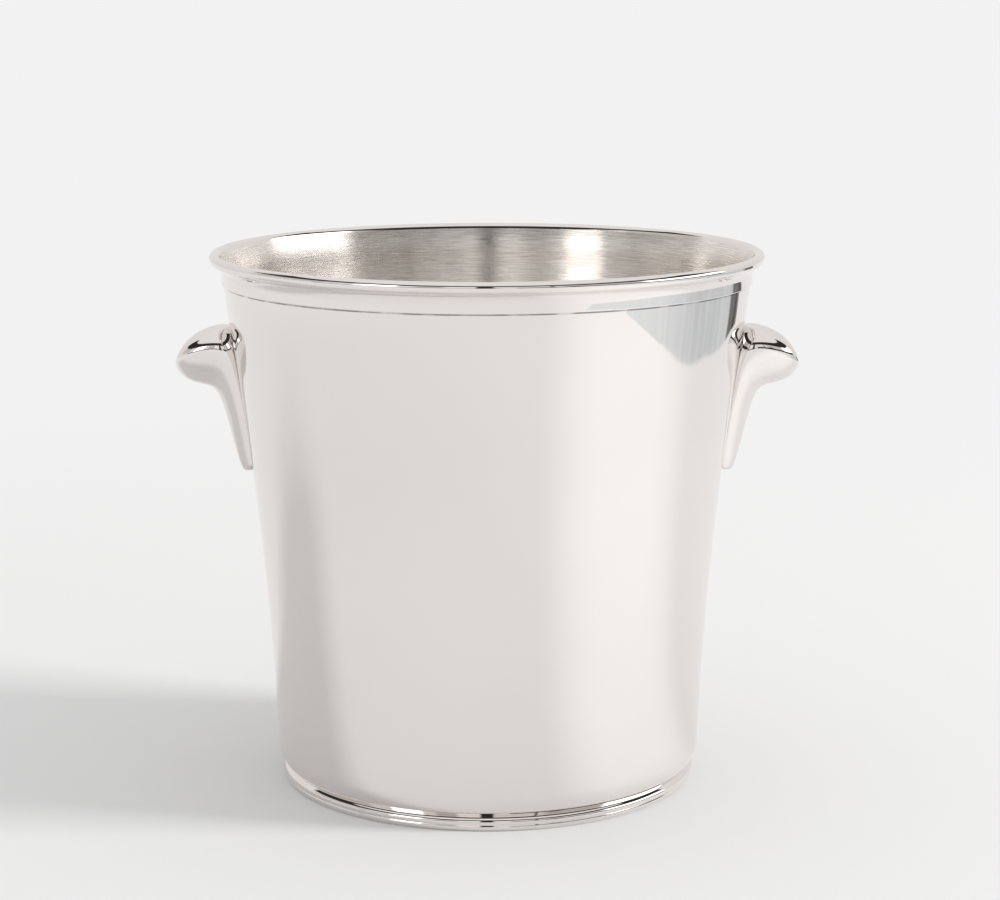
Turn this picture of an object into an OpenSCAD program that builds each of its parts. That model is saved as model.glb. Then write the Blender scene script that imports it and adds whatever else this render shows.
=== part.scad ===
// Champagne bucket: a spun steel bowl whose edge is rolled over a wire, a moulded band under that
// rim, an applied foot ring and two cast ear handles that are screwed on through the wall.
// Millimetres, +Z up. The origin is the centre of the plane the foot rests on, and the handles
// stand out along X: left is -X and right is +X, with the viewer on the -Y side.

/* [Bowl] */
// Overall height, from the table to the top of the rim bead
height = 212; // [195:1:230]
// Thickness of the spun sheet
sheet = 1.2; // [0.9:0.1:1.5]
// Outside radius where the wall leaves the base corner
base_r = 84.95; // [82:0.05:88]
// Outside radius of the rounded base corner
corner_r = 11.4; // [9:0.1:13]
// Height of the floor's underside above the table
floor_lift = 2.6; // [2:0.1:3.5]
// Outside radius where the wall's long flare ends
flare_r = 102; // [98:0.1:104]
// Height of the short shoulder between the long flare and the rim band
shoulder_h = 14.5; // [12:0.5:18]
// How far the long flare bows inwards from a straight line
flare_bow = 2.61; // [1:0.01:4]
// How far the shoulder bows outwards
shoulder_bow = 0.15; // [0.05:0.01:0.3]

/* [Rim] */
// Outside radius of the bowl at the lower edge of the rim band
neck_r = 103.75; // [101:0.05:105]
// Height of the rim band, from its lower edge to the top of the bead
rim_h = 12; // [11:0.5:14]
// Radius of the round bead that the bowl's edge is rolled into
bead_r = 2.2; // [1.8:0.1:2.6]
// Radius of the circle that the centre of the bead follows
bead_ring_r = 107.1; // [106.5:0.1:108]
// How far the band stands out from the neck
band_t = 0.9; // [0.7:0.05:1.1]
// Radius of the hollow cove under the bead
cove_r = 5.45; // [4.5:0.05:6]
// Gap left round the wire core inside the bead
wire_gap = 0.05; // [0.02:0.01:0.1]

/* [Foot] */
// Height of the foot ring
foot_h = 4.9; // [4:0.1:6]
// Outside radius of the foot ring at the line between its two rolls
foot_r = 82.75; // [80:0.05:85]
// Inside radius of the foot ring
foot_inner_r = 79.4; // [78:0.1:80]
// How far the face of each of its two rolls bulges
foot_roll_bow = 0.45; // [0.3:0.05:0.6]

/* [Handles] */
// How far below the top of the bead the centre of the knob is
knob_drop = 45; // [38:1:60]
// Distance from the bucket's axis to the outermost point of a knob
knob_reach = 124.2; // [120:0.1:130]
// Radius of the knob's rounded lip
lip_r = 7.8; // [7:0.1:8.5]
// Radius of the knob's broad back, against the wall
back_r = 12.3; // [11:0.1:13]
// Half the distance that the lip is drawn out sideways
lip_spread = 3.5; // [2:0.1:5]
// Half the distance that the back is drawn out sideways
back_spread = 3.8; // [2:0.1:5]
// Length of the tail, from the centre of the knob to its tip
tail_l = 44; // [38:1:48]
// Radius at the root of the tail, inside the knob
root_r = 13.9; // [12:0.1:15]
// Radius at the tip of the tail
tip_r = 4.1; // [3.5:0.1:4.5]

/* [Fixings] */
// Radius of the handle screws' shanks
screw_r = 2; // [1.5:0.1:2.5]
// Radius of the screw heads
head_r = 4; // [3.5:0.1:4.5]
// Radius of the washers and seals
washer_r = 5; // [4.8:0.1:6]
// Thickness of the metal washers
washer_t = 0.8; // [0.5:0.1:1.2]
// Thickness of the sealing washers
seal_t = 1; // [0.8:0.1:1.5]

/* [Hidden] */
$fn = 128;

LEFT = -1;
RIGHT = 1;
STEEL = [0.84, 0.83, 0.81];
POLISHED = [0.90, 0.89, 0.87];
ZINC_PLATED = [0.72, 0.73, 0.75];
RUBBER = [0.10, 0.10, 0.11];

// Points, as [radius, height], on the arc from p to q that bows to the left of p-to-q by sag.
function arc_radius(p, q, sag) = (pow(norm(q - p), 2) / 4 + sag * sag) / (2 * abs(sag));
function chord_left(p, q) = [p.y - q.y, q.x - p.x] / norm(q - p);
function arc_centre(p, q, sag) =
    (p + q) / 2 + chord_left(p, q) * (sag - sign(sag) * arc_radius(p, q, sag));
function bow(p, q, sag, steps) =
    let (radius = arc_radius(p, q, sag),
         centre = arc_centre(p, q, sag),
         apex = chord_left(p, q) * sign(sag),
         along = (q - p) / norm(q - p),
         half = asin(norm(q - p) / (2 * radius)))
    [for (i = [0:steps]) let (turn = half * (2 * i / steps - 1))
        centre + radius * (apex * cos(turn) + along * sin(turn))];
function round_arc(centre, radius, from, to, steps) =
    [for (i = [0:steps]) let (turn = from + (to - from) * i / steps)
        centre + radius * [cos(turn), sin(turn)]];
function reversed(points) = [for (i = [len(points) - 1:-1:0]) points[i]];
function inset_by(points, depth) = [for (p = points) [p.x - depth, p.y]];

// The bowl's outside: a round base corner, a long inward bow, a short shoulder and the neck
// that opens out under the rim band. Above the neck the sheet rolls out and down over the wire.
corner_centre = [base_r - corner_r, floor_lift + corner_r];
flare_foot = [base_r, corner_centre.y];
neck_z = height - rim_h;
flare_top = [flare_r, neck_z - shoulder_h];
neck = [neck_r, neck_z];
neck_bow = 0.26;
bowl_top_inset = 1.65;
bowl_top_drop = 3.8;
bowl_top = [bead_ring_r - bowl_top_inset, height - bowl_top_drop];
flare_steps = 24;
shoulder_steps = 5;
neck_steps = 6;
flare = bow(flare_foot, flare_top, flare_bow, flare_steps);
shoulder = bow(flare_top, neck, -shoulder_bow, shoulder_steps);
neck_flare = bow(neck, bowl_top, neck_bow, neck_steps);
outer_wall = concat(flare, [for (i = [1:shoulder_steps]) shoulder[i]],
                    [for (i = [1:neck_steps]) neck_flare[i]]);

// Radius and lean of the long flare's outside at height z.
flare_centre = arc_centre(flare_foot, flare_top, flare_bow);
flare_curve = arc_radius(flare_foot, flare_top, flare_bow);
function wall_r(z) = flare_centre.x - sqrt(pow(flare_curve, 2) - pow(z - flare_centre.y, 2));
function wall_lean(z) = asin((z - flare_centre.y) / flare_curve);

corner_steps = 10;
outer_corner = round_arc(corner_centre, corner_r, -90, 0, corner_steps);
hole_gap = 0.2;
hole_cut = 8;

bead_centre = [bead_ring_r, height - bead_r];
curl_r = bead_r - sheet;
curl_end = -100;
curl_steps = 24;
// The angle on a circle at which a straight line up from p meets its inner side.
function meeting_turn(p, centre, radius) =
    atan2(centre.y - p.y, centre.x - p.x) + asin(radius / norm(centre - p)) + 90;
curl_outside = round_arc(bead_centre, curl_r, meeting_turn(bowl_top, bead_centre, curl_r),
                         curl_end, curl_steps);
curl_inside = round_arc(bead_centre, bead_r, curl_end,
                        meeting_turn(bowl_top - [sheet, 0], bead_centre, bead_r), curl_steps);

module bowl_outline() {
    polygon(concat([[0, floor_lift]], outer_corner, outer_wall, [[0, bowl_top.y]]));
}

module body() {
    inner_corner = round_arc(corner_centre, corner_r - sheet, -90, 0, corner_steps);
    inner_wall = inset_by(outer_wall, sheet);
    color(STEEL) difference() {
        rotate_extrude()
            polygon(concat([[0, floor_lift]], outer_corner, outer_wall,
                           curl_outside, curl_inside,
                           reversed(inner_wall), reversed(inner_corner),
                           [[0, floor_lift + sheet]]));
        for (side = [LEFT, RIGHT])
            for (z = [upper_screw_z, lower_screw_z])
                at_wall(side, z)
                    cylinder(r = screw_r + hole_gap, h = hole_cut, center = true);
    }
}

// The rim band is soldered round the neck, and sweeps out in a cove to the underside of the bead.
band_r = neck_r + band_t;
cove_centre = [band_r + cove_r,
               bead_centre.y - sqrt(pow(cove_r + bead_r, 2) - pow(band_r + cove_r - bead_ring_r, 2))];
cove_turn = atan2(bead_centre.y - cove_centre.y, bead_ring_r - cove_centre.x);
band_end = -128;
band_edge = 0.3;
cove_steps = 8;

module rim_band() {
    color(POLISHED) rotate_extrude()
        polygon(concat(reversed(neck_flare),
                       [[band_r - band_edge, neck_z], [band_r, neck_z + band_edge]],
                       round_arc(cove_centre, cove_r, 180, cove_turn, cove_steps),
                       round_arc(bead_centre, bead_r, cove_turn - 180, band_end, cove_steps)));
}

module rim_wire() {
    color(ZINC_PLATED) rotate_extrude()
        translate(bead_centre)
            circle(r = curl_r - wire_gap, $fn = 24);
}

// The foot ring is a solid moulding of two rolls, soldered under the base corner, with a small
// sloping shoulder where it meets the bowl.
toe_inset = 0.65;
ledge_inset = 0.3;
ledge_rise = 0.9;
lower_roll_share = 0.48;
roll_steps = 6;
seat_steps = 3;

module foot_ring() {
    roll_z = foot_h * lower_roll_share;
    under = asin((corner_centre.y - foot_h - ledge_rise) / corner_r);
    inside = acos((foot_inner_r - corner_centre.x) / corner_r);
    color(POLISHED) rotate_extrude()
        polygon(concat([[foot_inner_r, 0]],
                       bow([foot_r - toe_inset, 0], [foot_r, roll_z],
                           -foot_roll_bow, roll_steps),
                       bow([foot_r, roll_z], [foot_r - ledge_inset, foot_h],
                           -foot_roll_bow, roll_steps),
                       round_arc(corner_centre, corner_r, -under, -inside, seat_steps)));
}

// A handle is one casting: a knob to lift by, drawn out sideways, and a tail that tapers down
// the wall. Its back is cut to the wall, and it has two blind holes for its screws.
knob_z = height - knob_drop;
lip_rise = 0.2;
back_inset = 8.4;
back_rise = 2.5;
root_x = 93.6;
root_drop = 10;
tip_out = 0.7;
upper_screw_z = knob_z + 3;
lower_screw_z = knob_z - 27;
upper_hole_l = 11;
lower_hole_l = 4.8;
ball_fn = 32;

module pair_across(spread) {
    for (way = [-1, 1])
        translate([0, way * spread, 0])
            children();
}

module ear_casting() {
    lip_at = [knob_reach - lip_r, 0, knob_z + lip_rise];
    back_at = [knob_reach - lip_r - back_inset, 0, knob_z + back_rise];
    root_at = [root_x, 0, knob_z - root_drop];
    tip_z = knob_z - tail_l;
    tip_at = [wall_r(tip_z) + tip_out, 0, tip_z + tip_r];
    hull() {
        translate(lip_at) pair_across(lip_spread) sphere(r = lip_r, $fn = ball_fn);
        translate(back_at) pair_across(back_spread) sphere(r = back_r, $fn = ball_fn);
    }
    hull() {
        translate(root_at) sphere(r = root_r, $fn = ball_fn);
        translate(tip_at) sphere(r = tip_r, $fn = ball_fn);
    }
}

module handle(side) {
    color(POLISHED) difference() {
        mirror([side == LEFT ? 1 : 0, 0, 0])
            ear_casting();
        rotate_extrude()
            bowl_outline();
        at_wall(side, upper_screw_z)
            cylinder(r = screw_r, h = 2 * upper_hole_l, center = true);
        at_wall(side, lower_screw_z)
            cylinder(r = screw_r, h = 2 * lower_hole_l, center = true);
    }
}

// Places a piece on the outside of the wall at height z, with its +Z square out of the wall.
module at_wall(side, z) {
    mirror([side == LEFT ? 1 : 0, 0, 0])
        translate([wall_r(z), 0, z])
            rotate([0, 90 + wall_lean(z), 0])
                children();
}

// Depths below the wall's outside at which each piece of a fixing starts.
wall_normal_t = sheet * cos(wall_lean(knob_z));
washer_base = wall_normal_t + seal_t;
head_base = washer_base + washer_t;
head_h = 2.2;
head_top_r = 1.9;
head_bow = 0.35;
socket_r = 1.45;
socket_deep = 1.3;
hole_end_gap = 1.2;
joined = 0.5;
clear = 1;

// A button-head screw with a hexagon socket, put in from inside the bowl.
module handle_screw(side, z, hole_l) {
    grip = hole_l - hole_end_gap;
    color(ZINC_PLATED) at_wall(side, z) difference() {
        union() {
            translate([0, 0, -head_base - joined])
                cylinder(r = screw_r, h = head_base + joined + grip);
            rotate_extrude()
                polygon(concat([[0, -head_base]],
                               bow([head_r, -head_base], [head_top_r, -head_base - head_h],
                                   head_bow, roll_steps),
                               [[0, -head_base - head_h]]));
        }
        translate([0, 0, -head_base - head_h - clear])
            cylinder(r = socket_r, h = socket_deep + clear, $fn = 6);
    }
}

module washer(side, z) {
    color(ZINC_PLATED) at_wall(side, z)
        translate([0, 0, -head_base])
            difference() {
                cylinder(r = washer_r, h = washer_t);
                translate([0, 0, -clear])
                    cylinder(r = screw_r + hole_gap, h = washer_t + 2 * clear);
            }
}

// A rubber washer, pressed to the curve of the wall so that the bowl holds water.
seal_inset = 0.4;

module seal(side, z) {
    color(RUBBER) intersection() {
        at_wall(side, z)
            translate([0, 0, -washer_base])
                difference() {
                    cylinder(r = washer_r - seal_inset, h = seal_t + clear);
                    translate([0, 0, -clear])
                        cylinder(r = screw_r, h = seal_t + 3 * clear);
                }
        rotate_extrude($fn = 720)
            polygon(concat([[0, flare_foot.y]], inset_by(flare, sheet), [[0, flare_top.y]]));
    }
}

body();
rim_band();
rim_wire();
foot_ring();
handle(LEFT);  // left_handle
handle(RIGHT);  // right_handle
handle_screw(LEFT, upper_screw_z, upper_hole_l);  // left_upper_screw
handle_screw(LEFT, lower_screw_z, lower_hole_l);  // left_lower_screw
handle_screw(RIGHT, upper_screw_z, upper_hole_l);  // right_upper_screw
handle_screw(RIGHT, lower_screw_z, lower_hole_l);  // right_lower_screw
washer(LEFT, upper_screw_z);  // left_upper_washer
washer(LEFT, lower_screw_z);  // left_lower_washer
washer(RIGHT, upper_screw_z);  // right_upper_washer
washer(RIGHT, lower_screw_z);  // right_lower_washer
seal(LEFT, upper_screw_z);  // left_upper_seal
seal(LEFT, lower_screw_z);  // left_lower_seal
seal(RIGHT, upper_screw_z);  // right_upper_seal
seal(RIGHT, lower_screw_z);  // right_lower_seal
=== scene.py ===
import math

import bmesh
import bpy
from mathutils import Matrix, Vector


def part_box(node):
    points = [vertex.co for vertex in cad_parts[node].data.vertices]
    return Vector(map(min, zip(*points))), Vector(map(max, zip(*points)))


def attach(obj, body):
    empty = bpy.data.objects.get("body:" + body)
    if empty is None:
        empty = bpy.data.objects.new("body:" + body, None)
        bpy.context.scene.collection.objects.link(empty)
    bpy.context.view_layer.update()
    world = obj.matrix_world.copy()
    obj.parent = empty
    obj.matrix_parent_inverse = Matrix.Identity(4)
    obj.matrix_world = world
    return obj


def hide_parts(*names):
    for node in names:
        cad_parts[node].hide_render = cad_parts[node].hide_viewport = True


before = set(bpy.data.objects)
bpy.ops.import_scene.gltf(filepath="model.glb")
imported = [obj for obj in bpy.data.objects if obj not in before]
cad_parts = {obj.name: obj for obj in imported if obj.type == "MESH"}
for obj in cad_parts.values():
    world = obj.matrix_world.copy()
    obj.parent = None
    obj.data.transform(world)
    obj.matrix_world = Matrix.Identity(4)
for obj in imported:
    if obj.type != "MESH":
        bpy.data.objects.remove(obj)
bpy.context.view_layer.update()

# Studio camera. It stands on the viewer's side, a metre from the bucket and a third of a metre
# above the table, and looks a little down into the mouth.
camera = bpy.data.objects.new("camera", bpy.data.cameras.new("camera"))
bpy.context.scene.collection.objects.link(camera)
bpy.context.scene.camera = camera
camera.data.sensor_width = 36
camera.data.lens = 94.2
camera.data.clip_end = 60
CAMERA_AT = (0.00502, -1.02926, 0.32372)
CAMERA_TILT = math.radians(79.42)
CAMERA_ROLL = math.radians(-0.1)
camera.matrix_world = (Matrix.Translation(CAMERA_AT) @ Matrix.Rotation(CAMERA_TILT, 4, "X")
                       @ Matrix.Rotation(CAMERA_ROLL, 4, "Z"))
bpy.context.scene.view_settings.view_transform = "Standard"

# The bowl is one sheet of stainless steel, spun over a former: a flat floor, a round base corner
# and a wall that flares up to the rim, where its edge is rolled out over a wire into a bead. The
# outside and the bead are buffed to a mirror, and the inside keeps its fine brushed satin.
MM = 0.001
SHEET = 1.2
_, bowl_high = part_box("body")
HEIGHT = bowl_high.z / MM
BASE_R = 84.95
FLOOR_Z = 2.6
CORNER_R = 11.4
CORNER = Vector((BASE_R - CORNER_R, FLOOR_Z + CORNER_R))
FLOOR_RADII = (0, 30, 60, CORNER.x - 1)
FLARE_FOOT = Vector((BASE_R, CORNER.y))
FLARE_TOP = Vector((102, HEIGHT - 26.5))
FLARE_BOW = 2.61
SHOULDER_BOW = -0.15
NECK_BOW = 0.26
NECK = Vector((103.75, HEIGHT - 12))
BOWL_TOP = Vector((105.45, HEIGHT - 3.8))
BEAD = Vector((107.1, HEIGHT - 2.2))
BEAD_R = 2.2
CURL_END = -100
LIP_SHARES = (0.27, 0.6)
SATIN_TOP = HEIGHT - 2.2
FULL_TURN = 256
SHARP = math.radians(50)


def arc_centre(start, end, bow):
    """The centre and radius of the arc from start to end that bows to its left by bow."""
    chord = end - start
    left = Vector((-chord.y, chord.x)).normalized()
    radius = (chord.length_squared / 4 + bow * bow) / (2 * abs(bow))
    return (start + end) / 2 + left * (bow - math.copysign(radius, bow)), radius


def arc_between(start, end, bow, steps):
    """Points [radius, height] on that arc."""
    centre, radius = arc_centre(start, end, bow)
    along = (end - start).normalized()
    apex = Vector((-along.y, along.x)) * math.copysign(1, bow)
    half = math.asin((end - start).length / (2 * radius))
    points = []
    for i in range(steps + 1):
        turn = half * (2 * i / steps - 1)
        points.append(centre + radius * (apex * math.cos(turn) + along * math.sin(turn)))
    return points


def arc_round(centre, radius, start, end, steps):
    """Points [radius, height] on an arc about centre, from one angle in degrees to another."""
    points = []
    for i in range(steps + 1):
        turn = math.radians(start + (end - start) * i / steps)
        points.append(centre + radius * Vector((math.cos(turn), math.sin(turn))))
    return points


def meeting_turn(point, radius):
    """The angle in degrees at which a line up from a point touches a circle in the bead."""
    away = BEAD - point
    return math.degrees(math.atan2(away.y, away.x) + math.asin(radius / away.length)) + 90


def turned(name, profile, closed):
    """A piece turned round the bucket's axis from a profile of [radius, height] in millimetres."""
    bm = bmesh.new()
    corners = [bm.verts.new((p.x * MM, 0, p.y * MM)) for p in profile]
    runs = list(zip(corners, corners[1:]))
    if closed:
        runs.append((corners[-1], corners[0]))
    edges = [bm.edges.new(run) for run in runs]
    bmesh.ops.spin(bm, geom=corners + edges, cent=(0, 0, 0), axis=(0, 0, 1), angle=math.tau,
                   steps=FULL_TURN, use_merge=True)
    bmesh.ops.remove_doubles(bm, verts=bm.verts, dist=1e-6)
    bmesh.ops.recalc_face_normals(bm, faces=bm.faces)
    for edge in bm.edges:
        edge.smooth = not edge.is_manifold or edge.calc_face_angle() < SHARP
    return finished(name, bm)


def finished(name, bm):
    """Makes a smooth-shaded piece of a bmesh and puts it on the bucket's one body."""
    for face in bm.faces:
        face.smooth = True
    mesh = bpy.data.meshes.new(name)
    bm.to_mesh(mesh)
    bm.free()
    piece = bpy.data.objects.new(name, mesh)
    bpy.context.scene.collection.objects.link(piece)
    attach(piece, "root")
    return piece


flare = arc_between(FLARE_FOOT, FLARE_TOP, FLARE_BOW, steps=44)
shoulder = arc_between(FLARE_TOP, NECK, SHOULDER_BOW, steps=10)
neck_flare = arc_between(NECK, BOWL_TOP, NECK_BOW, steps=8)
outer_wall = flare + shoulder[1:] + neck_flare[1:]
inner_wall = [Vector((p.x - SHEET, p.y)) for p in reversed(outer_wall)]
outer_floor = [Vector((radius, FLOOR_Z)) for radius in FLOOR_RADII]
inner_floor = [Vector((radius, FLOOR_Z + SHEET)) for radius in reversed(FLOOR_RADII)]
outer_corner = arc_round(CORNER, CORNER_R, -90, 0, steps=14)
inner_corner = arc_round(CORNER, CORNER_R - SHEET, 0, -90, steps=14)
curl_r = BEAD_R - SHEET
curl_inside = arc_round(BEAD, curl_r, meeting_turn(BOWL_TOP, curl_r), CURL_END, steps=30)
curl_outside = arc_round(BEAD, BEAD_R, CURL_END, meeting_turn(inner_wall[0], BEAD_R), steps=60)
lip = [curl_outside[-1].lerp(inner_wall[0], share) for share in LIP_SHARES]
bowl = turned("bowl", outer_floor + outer_corner + outer_wall[1:] + curl_inside + curl_outside
              + lip + inner_wall[:-1] + inner_corner + inner_floor, closed=False)
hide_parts("body")


class Shade:
    """One output of a material's nodes. Sums written on it become Math nodes."""

    def __init__(self, tree, socket=None):
        self.tree = tree
        self.socket = socket

    def node(self, kind, settings=None, inputs=None, output=0):
        """Adds a node: its settings first, then the values or links of its sockets."""
        made = self.tree.nodes.new("ShaderNode" + kind)
        for name, value in (settings or {}).items():
            setattr(made, name, value)
        for name, value in (inputs or {}).items():
            if isinstance(value, Shade):
                self.tree.links.new(value.socket, made.inputs[name])
            else:
                made.inputs[name].default_value = value
        return Shade(self.tree, made.outputs[output] if len(made.outputs) else None)

    def maths(self, operation, *values):
        return self.node("Math", {"operation": operation}, dict(enumerate(values)))

    def __add__(self, other):
        return self.maths("ADD", self, other)

    def __sub__(self, other):
        return self.maths("SUBTRACT", self, other)

    def __rsub__(self, other):
        return self.maths("SUBTRACT", other, self)

    def __mul__(self, other):
        return self.maths("MULTIPLY", self, other)

    def __truediv__(self, other):
        return self.maths("DIVIDE", self, other)

    __radd__ = __add__
    __rmul__ = __mul__

    def ease(self, low, high):
        """0 below low and 1 above high, with a smooth step between."""
        return self.node("MapRange", {"interpolation_type": "SMOOTHSTEP"},
                         {"Value": self, "From Min": low, "From Max": high})

    def blend(self, first, second):
        """The colour that goes from first to second as this value goes from 0 to 1."""
        return self.node("Mix", {"data_type": "RGBA"}, {0: self, 6: first, 7: second}, output=2)

    def split(self):
        """The three parts of a vector."""
        parts = self.node("SeparateXYZ", None, {"Vector": self})
        return [Shade(self.tree, part) for part in parts.socket.node.outputs]

    def joined(self, x, y, z=0):
        """The vector with these three parts."""
        return self.node("CombineXYZ", None, {"X": x, "Y": y, "Z": z})

    def noise(self, place, scale, detail, roughness=0.5):
        return self.node("TexNoise", None, {"Vector": place, "Scale": scale, "Detail": detail,
                                            "Roughness": roughness})

    def bump(self, height, depth, strength=1):
        return self.node("Bump", None, {"Strength": strength, "Distance": depth, "Height": height})


def new_material(name):
    material = bpy.data.materials.new(name)
    material.use_nodes = True
    material.node_tree.nodes.clear()
    return material, Shade(material.node_tree)


def finish_material(shade, shader):
    shade.node("OutputMaterial", None, {"Surface": shader})


def object_place(shade):
    return shade.node("TexCoord", output="Object")


def stretched(shade, scale):
    """Object coordinates, scaled by a different amount along each axis."""
    return shade.node("Mapping", None, {"Vector": object_place(shade), "Scale": scale})


def round_and_up(shade):
    """The angle round the bucket's axis in radians, the radius and the height in metres."""
    x, y, z = object_place(shade).split()
    angle = shade.maths("ARCTAN2", y, x)
    radius = shade.maths("SQRT", x * x + y * y)
    return angle, radius, z


STEEL = (0.842, 0.802, 0.785, 1)
STEEL_WARM = (0.825, 0.783, 0.757, 1)
# Painted shade along a seam: its colour, its span in millimetres below and above the seam, and the
# softness of its sides.
SEAM_SHADE = (0.10, 0.09, 0.08, 1)
SEAM_SHADE_LOW = -0.6
SEAM_SHADE_HIGH = 0.25
SEAM_SHADE_FADE = 0.15
WIPE_STRETCH = (60, 60, 900)


def polished_metal(name, roughness, wave_depth, seam=None):
    """Buffed metal: a faint warm clouding, fine wipe marks and a very slow ripple. At the height of
    a seam, in millimetres, a patchy dark line of painted shade is laid, for the shadow in its
    crease."""
    material, shade = new_material(name)
    place = object_place(shade)
    cloud = shade.noise(place, scale=14, detail=3)
    wipes = shade.noise(stretched(shade, WIPE_STRETCH), scale=3, detail=4, roughness=0.6)
    ripple = shade.noise(place, scale=38, detail=1)
    colour = cloud.ease(0.35, 0.75).blend(STEEL, STEEL_WARM)
    if seam:
        # Painted shade: a patchy dark line along the seam, where the crease under the band falls in
        # shadow.
        over_seam = place.split()[2] / MM - seam
        above = over_seam.ease(SEAM_SHADE_LOW - SEAM_SHADE_FADE, SEAM_SHADE_LOW + SEAM_SHADE_FADE)
        below = 1 - over_seam.ease(SEAM_SHADE_HIGH - SEAM_SHADE_FADE, SEAM_SHADE_HIGH + SEAM_SHADE_FADE)
        patchy = shade.noise(place, scale=90, detail=2).ease(0.25, 0.6)
        colour = (above * below * patchy * 0.75).blend(colour, SEAM_SHADE)
    finish_material(shade, shade.node("BsdfPrincipled", None, {
        "Base Color": colour,
        "Metallic": 1,
        "Roughness": roughness + cloud * 0.012 + wipes.ease(0.56, 0.8) * 0.02,
        "Normal": shade.bump(ripple, wave_depth),
    }))
    return material


mirror_steel = polished_metal("mirror_steel", roughness=0.035, wave_depth=0.01 * MM, seam=NECK.y)

# The satin's brush marks run round the wall and the floor. They are counted in marks to a radian
# and to a metre.
SATIN_DULL = (0.76, 0.72, 0.685, 1)
SATIN_BRIGHT = (0.98, 0.94, 0.905, 1)
FINE_MARKS = (9, 2600)
COARSE_MARKS = (4, 1000)
FLOOR_TO_WALL = (0.004, 0.009)
satin_steel, shade = new_material("satin_steel")
angle, radius, height = round_and_up(shade)
wall_share = height.ease(*FLOOR_TO_WALL)
run = (1 - wall_share) * radius + wall_share * height
fine_place = shade.joined(angle * FINE_MARKS[0], run * FINE_MARKS[1])
fine_marks = shade.noise(fine_place, scale=1, detail=3, roughness=0.7)
coarse_place = shade.joined(angle * COARSE_MARKS[0], run * COARSE_MARKS[1], 4)
coarse_marks = shade.noise(coarse_place, scale=1, detail=2, roughness=0.6)
finish_material(shade, shade.node("BsdfPrincipled", None, {
    "Base Color": fine_marks.ease(0.35, 0.65).blend(SATIN_DULL, SATIN_BRIGHT),
    "Metallic": 1,
    "Roughness": 0.17 + fine_marks * 0.06 + coarse_marks * 0.04,
    "Anisotropic": 1.0,
    "Anisotropic Rotation": 0.25,
    "Normal": shade.bump(fine_marks + coarse_marks * 0.6, 0.05 * MM, strength=0.5),
}))
bowl.data.materials.append(mirror_steel)
bowl.data.materials.append(satin_steel)
for face in bowl.data.polygons:
    lean_in = -face.center.xy.normalized().dot(face.normal.xy)
    brushed = lean_in + face.normal.z > 0 and face.center.z < SATIN_TOP * MM
    face.material_index = 1 if brushed else 0

# The rim band is a moulding of the same steel that is soldered round the bowl's neck. It has a
# half-round lower edge, and sweeps out in a hollow cove to the underside of the bead.
COVE_R = 5.45
COVE_SHORT = 1.5
BAND_R = 104.65
BAND_EDGE = 0.45
BAND_FACE = 0.25
BAND_START = -165
BAND_END = -128
SOLDER_GAP = 0.02
SUNK = 0.12
overhang = BAND_R + COVE_R - BEAD.x
COVE = Vector((BAND_R + COVE_R, BEAD.y - math.sqrt((COVE_R + BEAD_R) ** 2 - overhang ** 2)))
cove_turn = math.degrees(math.atan2(BEAD.y - COVE.y, BEAD.x - COVE.x))
lap = [Vector((p.x + SOLDER_GAP, p.y)) for p in reversed(neck_flare)]
edge_centre = Vector((BAND_R - BAND_EDGE, NECK.y + BAND_EDGE))
lower_edge = arc_round(edge_centre, BAND_EDGE, BAND_START, 0, steps=10)
band_face = [Vector((BAND_R, edge_centre.y + BAND_FACE))]
cove = arc_round(COVE, COVE_R, 180, cove_turn + COVE_SHORT, steps=20)
top = arc_round(BEAD, BEAD_R - SUNK, cove_turn - 180, BAND_END, steps=10)
rim = turned("rim_band", lap + lower_edge + band_face + cove + top, closed=True)
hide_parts("rim_band")
rim.data.materials.append(polished_metal("buffed_band", roughness=0.03, wave_depth=0.006 * MM))

# The foot ring is a solid moulding of two half-round rolls, soldered under the base corner so
# that the bucket stands clear of the table. A small sloping shoulder runs up from it to the bowl,
# and all of it is buffed with the bowl.
FOOT_R = 82.75
FOOT_INSIDE = 79.4
FOOT_H = 4.9
SEAT_MIDDLE = 80.8
SEAT_R = FOOT_R - 0.65
ROLL_MEETING = Vector((FOOT_R, FOOT_H * 0.48))
LEDGE = Vector((FOOT_R - 0.3, FOOT_H))
ROLL_BOW = -0.45
SHOULDER_Z = 5.8
shoulder_turn = math.degrees(math.asin((CORNER.y - SHOULDER_Z) / CORNER_R))
inside_turn = math.degrees(math.acos((FOOT_INSIDE - CORNER.x) / CORNER_R))
seat = [Vector((FOOT_INSIDE, 0)), Vector((SEAT_MIDDLE, 0))]
lower_roll = arc_between(Vector((SEAT_R, 0)), ROLL_MEETING, ROLL_BOW, steps=14)
upper_roll = arc_between(ROLL_MEETING, LEDGE, ROLL_BOW, steps=14)
soldered_top = arc_round(CORNER, CORNER_R + SOLDER_GAP, -shoulder_turn, -inside_turn, steps=4)
foot = turned("foot_ring", seat + lower_roll + upper_roll[1:] + soldered_top, closed=True)
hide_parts("foot_ring")
foot.data.materials.append(polished_metal("buffed_foot", roughness=0.03, wave_depth=0.006 * MM))

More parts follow.
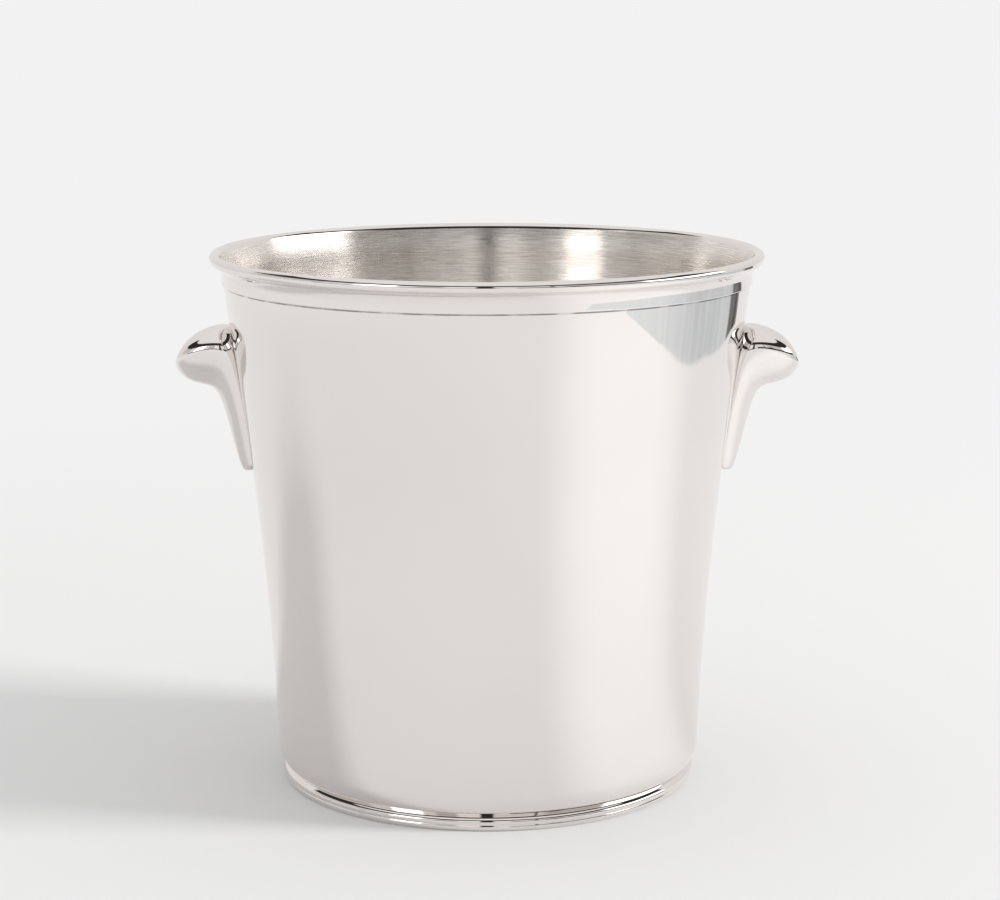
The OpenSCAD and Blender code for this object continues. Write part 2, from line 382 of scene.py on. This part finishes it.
# Each ear handle is one solid casting: a knob drawn out into a rounded lip for the fingers, and a
# tail that tapers down the wall. It is buffed all over and screwed on from inside the bowl. Each of
# its rings has a front and a back point [radius, height] and half its width across the wall.
EAR_RINGS = (
    ((97.4, 123.3), (93.2, 123.9), 2.2),
    ((98.7, 125.6), (91.6, 126.7), 3.9),
    ((100.7, 132.6), (91.3, 134.0), 5.8),
    ((103.5, 144.0), (92.0, 146.0), 8.3),
    ((105.9, 152.6), (94.0, 160.5), 10.6),
    ((108.2, 156.8), (96.5, 177.0), 12.9),
    ((110.8, 158.0), (101.0, 182.9), 13.7),
    ((114.6, 158.8), (109.0, 182.2), 12.9),
    ((118.9, 160.0), (117.0, 178.4), 10.9),
    ((122.1, 162.9), (121.2, 173.9), 7.8),
    ((123.7, 165.4), (123.6, 169.2), 3.6),
)
RING_POINTS = 12
RING_SWELL = 1.045
RING_EGG = 0.45
SMOOTHINGS = 4
SEAM_GAP = 0.08


def wall_radius(height):
    """The radius of the bowl's outside at a height on its long flare, in millimetres."""
    centre, radius = arc_centre(FLARE_FOOT, FLARE_TOP, FLARE_BOW)
    return centre.x - math.sqrt(radius ** 2 - (height - centre.y) ** 2)


def ear_handle(name, side):
    """A handle lofted through its rings, smoothed, and pressed against the wall."""
    bm = bmesh.new()
    ring = bmesh.ops.create_circle(bm, segments=RING_POINTS, radius=1)["verts"]
    for vert in ring:
        vert.co.y *= 1 - RING_EGG * vert.co.x
    edges = list({edge for vert in ring for edge in vert.link_edges})
    first = last = None
    for front, back, half_width in EAR_RINGS:
        if last is not None:
            grown = bmesh.ops.extrude_edge_only(bm, edges=edges)["geom"]
            ring = [part for part in grown if isinstance(part, bmesh.types.BMVert)]
            edges = [part for part in grown if isinstance(part, bmesh.types.BMEdge)]
            edges = [edge for edge in edges if all(vert in ring for vert in edge.verts)]
            for vert in ring:
                vert.co = last.inverted() @ vert.co
        middle = Vector((front[0] + back[0], 0, front[1] + back[1])) / 2
        reach = (Vector((front[0], 0, front[1])) - middle) * RING_SWELL
        upright = reach.cross(Vector((0, 1, 0))).normalized()
        place = Matrix((
            (reach.x, 0, upright.x, middle.x),
            (0, half_width * RING_SWELL, 0, 0),
            (reach.z, 0, upright.z, middle.z),
            (0, 0, 0, 1),
        ))
        bmesh.ops.transform(bm, matrix=place, verts=ring)
        last = place
        if first is None:
            first = list(edges)
    for end in (first, edges):
        cap = bmesh.ops.contextual_create(bm, geom=end)["faces"]
        bmesh.ops.poke(bm, faces=cap)
    bmesh.ops.scale(bm, vec=(side * MM, MM, MM), verts=bm.verts)
    bmesh.ops.recalc_face_normals(bm, faces=bm.faces)
    piece = finished(name, bm)
    smoothing = piece.modifiers.new("smoothing", "SUBSURF")
    smoothing.levels = SMOOTHINGS
    smoothing.render_levels = SMOOTHINGS
    depsgraph = bpy.context.evaluated_depsgraph_get()
    smooth_mesh = bpy.data.meshes.new_from_object(piece.evaluated_get(depsgraph))
    piece.modifiers.clear()
    piece.data = smooth_mesh
    for vert in smooth_mesh.vertices:
        radius = vert.co.xy.length
        wall = (wall_radius(min(vert.co.z / MM, FLARE_TOP.y)) + SEAM_GAP) * MM
        if radius < wall:
            vert.co.xy *= wall / radius
    return piece


ear_metal = polished_metal("buffed_ears", roughness=0.03, wave_depth=0.03 * MM)
for side_name, side in (("left", -1), ("right", 1)):
    ear = ear_handle(side_name + "_ear", side)
    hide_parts(side_name + "_handle")
    ear.data.materials.append(ear_metal)

# Each handle is held by two stainless button-head screws, put in from inside the bowl. Each has a
# stamped steel washer over a washer of black rubber, which keeps the bowl watertight.
TURNED_BRIGHT = (0.62, 0.61, 0.60, 1)
TURNED_DULL = (0.50, 0.49, 0.48, 1)
RUBBER_BLACK = (0.018, 0.018, 0.019, 1)
RUBBER_GREY = (0.04, 0.04, 0.042, 1)
turned_steel, shade = new_material("turned_steel")
grain = shade.noise(object_place(shade), scale=2600, detail=3, roughness=0.65)
cloud = shade.noise(object_place(shade), scale=300, detail=2)
finish_material(shade, shade.node("BsdfPrincipled", None, {
    "Base Color": cloud.ease(0.3, 0.7).blend(TURNED_BRIGHT, TURNED_DULL),
    "Metallic": 1,
    "Roughness": 0.2 + grain * 0.2,
    "Normal": shade.bump(grain, 0.03 * MM, strength=0.3),
}))
black_rubber, shade = new_material("black_rubber")
grain = shade.noise(object_place(shade), scale=3500, detail=3, roughness=0.7)
finish_material(shade, shade.node("BsdfPrincipled", None, {
    "Base Color": grain.blend(RUBBER_BLACK, RUBBER_GREY),
    "Roughness": 0.55 + grain * 0.3,
    "Normal": shade.bump(grain, 0.04 * MM, strength=0.4),
}))
for name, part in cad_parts.items():
    if "_screw" in name or "_washer" in name or "_seal" in name:
        part.data.materials.clear()
        part.data.materials.append(black_rubber if "_seal" in name else turned_steel)

# The core of the bead is a plain drawn steel wire, which the bowl's edge is rolled round. It is
# inside the bead all the way round.
WIRE_DARK = (0.38, 0.37, 0.36, 1)
WIRE_BRIGHT = (0.55, 0.54, 0.53, 1)
DIE_MARKS = 9000
drawn_wire, shade = new_material("drawn_wire")
angle, radius, height = round_and_up(shade)
die_place = shade.joined(angle * 3, radius * DIE_MARKS, height * DIE_MARKS)
die_marks = shade.noise(die_place, scale=1, detail=2)
finish_material(shade, shade.node("BsdfPrincipled", None, {
    "Base Color": die_marks.blend(WIRE_DARK, WIRE_BRIGHT),
    "Metallic": 1,
    "Roughness": 0.3 + die_marks * 0.2,
    "Normal": shade.bump(die_marks, 0.02 * MM, strength=0.3),
}))
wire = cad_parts["rim_wire"]
wire.data.materials.clear()
wire.data.materials.append(drawn_wire)

# The table is a wide, plain, pale top that fades into the pale room far out. Mirror surfaces see a
# painted sheen on it, glowing brighter towards the window. To the right they see where it ends, and
# past its edge a painted reflection of the panes and dark frame of a tall window, glowing on it.
# Bearings go from the viewer, at 0, to the right, at 90.
BACKDROP = (0.89, 0.89, 0.89, 1)
TABLE_R = 9
TABLE_PALE = (0.86, 0.86, 0.86, 1)
ROOM_FADE = (0.35, 1.0)
SHEEN = (1, 0.98, 0.95, 1)
SHEEN_BEARING = math.radians(62)
SHEEN_FADE = (0.05, 0.13)
# The table ends at two slanting sides and a straight one. Each slanting side has its place across
# and how much that grows with the distance away.
NEAR_ACROSS = 0.468
NEAR_SLOPE = -0.475
FAR_ACROSS = 0.558
FAR_SLOPE = 0.171
STRAIGHT_ACROSS = 0.592
PANE_BEARINGS = (66, 105)
FRAME_BEARINGS = (126, 128.5)
WALL_BEARINGS = (137, 138.5)
BRIGHT_PANES = ((0.90, 0.94, 0.96, 1), (0.70, 0.735, 0.755, 1))
DIM_PANES = ((0.84, 0.88, 0.90, 1), (0.58, 0.61, 0.63, 1))
WINDOW_FRAME = (0.05, 0.04, 0.035, 1)
bm = bmesh.new()
bmesh.ops.create_circle(bm, segments=128, radius=TABLE_R, cap_ends=True)
table_mesh = bpy.data.meshes.new("table")
bm.to_mesh(table_mesh)
bm.free()
table = bpy.data.objects.new("table", table_mesh)
bpy.context.scene.collection.objects.link(table)
table_finish, shade = new_material("table_finish")
across, away, _ = object_place(shade).split()
far = shade.maths("SQRT", across * across + away * away)
bearing = shade.maths("ARCTAN2", across, away * -1) * math.degrees(1)
glossy = shade.node("LightPath", output="Is Glossy Ray")

lit = shade.node("BsdfDiffuse", None, {"Color": TABLE_PALE})
backdrop = shade.node("Emission", None, {"Color": BACKDROP, "Strength": 1})
plain = shade.node("MixShader", None, {0: far.ease(*ROOM_FADE), 1: lit, 2: backdrop})
# Painted sheen: a glow added to the table that only mirror rays see, brightest towards the window.
towards_window = across * math.sin(SHEEN_BEARING) - away * math.cos(SHEEN_BEARING)
sheen = (towards_window / far).ease(0.75, 1.0) * far.ease(*SHEEN_FADE) * glossy * 0.2
painted_sheen_glow = shade.node("Emission", None, {"Color": SHEEN, "Strength": sheen})
table_top = shade.node("AddShader", None, {0: plain, 1: painted_sheen_glow})

# Painted reflection: past the table's edge, mirror rays see the window's panes and frame glowing on
# the table itself.
near_side = away * NEAR_SLOPE + NEAR_ACROSS
far_side = shade.maths("MINIMUM", away * FAR_SLOPE + FAR_ACROSS, STRAIGHT_ACROSS)
table_edge = shade.maths("MAXIMUM", near_side, far_side)
beyond = (across - table_edge).ease(0, 0.006) * (1 - bearing.ease(*WALL_BEARINGS)) * glossy
streaks = shade.noise(shade.joined(bearing * 0.3, far * 0.5), scale=1, detail=4, roughness=0.65)
streaks = streaks.ease(0.3, 0.7)
turned_away = bearing.ease(*PANE_BEARINGS)
panes = streaks.blend(turned_away.blend(*DIM_PANES), turned_away.blend(*BRIGHT_PANES))
frame_bar = bearing.ease(*FRAME_BEARINGS) * (0.55 + streaks * 0.45)
view_out = frame_bar.blend(panes, WINDOW_FRAME)
painted_window_view = shade.node("Emission", None, {"Color": view_out, "Strength": 1})
finish_material(shade, shade.node("MixShader", None, {0: beyond, 1: table_top, 2: painted_window_view}))
table.data.materials.append(table_finish)

# The studio is soft light from all round and a bright window on the right. Only what the bucket
# reflects has the darker and brighter shapes of the room, each a panel with soft sides.
ROOM_LOW = (0.80, 0.78, 0.76, 1)
ROOM_HIGH = (0.88, 0.87, 0.86, 1)
SOFT_LIGHT = (0.78, 0.78, 0.78, 1)
# In degrees: a panel's bearing, half its width, its lowest and highest elevation and the softness
# of its sides. Then its colour.
ROOM_PANELS = (
    (92, 23, 11, 30, 2, (2.6, 2.55, 2.5, 1)),
    (49, 17, 6, 30, 2, (0.62, 0.60, 0.58, 1)),
    (37.5, 3.5, 0, 14, 1.5, (0.12, 0.11, 0.10, 1)),
    (27, 0.9, 6, 30, 0.6, (0.15, 0.14, 0.13, 1)),
    (-14, 11, 5, 30, 2, (0.95, 0.93, 0.91, 1)),
    (-0.5, 3.6, -20, 28, 1, (0.03, 0.028, 0.025, 1)),
    (-23, 6, 5, 30, 2, (0.55, 0.53, 0.51, 1)),
    (-46, 9, 6, 30, 1.5, (2.4, 2.35, 2.3, 1)),
    (-92, 22, 9, 30, 3, (0.60, 0.58, 0.56, 1)),
    (0, 125, 28, 46, 1.5, (0.03, 0.028, 0.025, 1)),
    (62, 50, 1, 10, 1, (0.02, 0.018, 0.016, 1)),
    (-34, 40, 1, 5, 1, (0.08, 0.075, 0.07, 1)),
)
# These two keep a division and an arccosine within their range.
TINY = 0.0001
NEARLY_1 = 0.99999
world = bpy.data.worlds.new("studio")
bpy.context.scene.world = world
world.use_nodes = True
world.node_tree.nodes.clear()
shade = Shade(world.node_tree)
x, y, z = shade.node("TexCoord").split()
flat_length = shade.maths("MAXIMUM", shade.maths("SQRT", x * x + y * y), TINY)
elevation = shade.maths("ARCSINE", z) * math.degrees(1)


def off_bearing(bearing):
    """How many degrees a direction is from a bearing."""
    turn = math.radians(bearing)
    cosine = (x * math.sin(turn) - y * math.cos(turn)) / flat_length
    return shade.maths("ARCCOSINE", cosine * NEARLY_1) * math.degrees(1)


def panel(bearing, half_width, low, high, soft):
    """1 within a panel of the room and 0 outside it."""
    within = 1 - off_bearing(bearing).ease(half_width - soft, half_width + soft)
    above = elevation.ease(low - soft, low + soft)
    below = 1 - elevation.ease(high - soft, high + soft)
    return within * above * below


room = elevation.ease(-5, 60).blend(ROOM_LOW, ROOM_HIGH)
for *edges, colour in ROOM_PANELS:
    room = panel(*edges).blend(room, colour)
light = shade.node("LightPath", output="Is Glossy Ray").blend(SOFT_LIGHT, room)
seen = shade.node("LightPath", output="Is Camera Ray").blend(light, BACKDROP)
background = shade.node("Background", None, {"Color": seen, "Strength": 1})
shade.node("OutputWorld", None, {"Surface": background})

LIGHT_BEARING = math.radians(81)
LIGHT_OUT = 5.2
LIGHT_UP = 3.0
light_from = Vector((math.sin(LIGHT_BEARING) * LIGHT_OUT, -math.cos(LIGHT_BEARING) * LIGHT_OUT,
                     LIGHT_UP))
window_light = bpy.data.lights.new("window_light", "AREA")
window_light.energy = 180
window_light.color = (1, 0.995, 0.985)
window_light.size = 1.4
window = bpy.data.objects.new("window_light", window_light)
bpy.context.scene.collection.objects.link(window)
window.location = light_from
window.rotation_euler = (-light_from).to_track_quat("-Z", "Y").to_euler()
window.visible_glossy = False
window.visible_camera = False
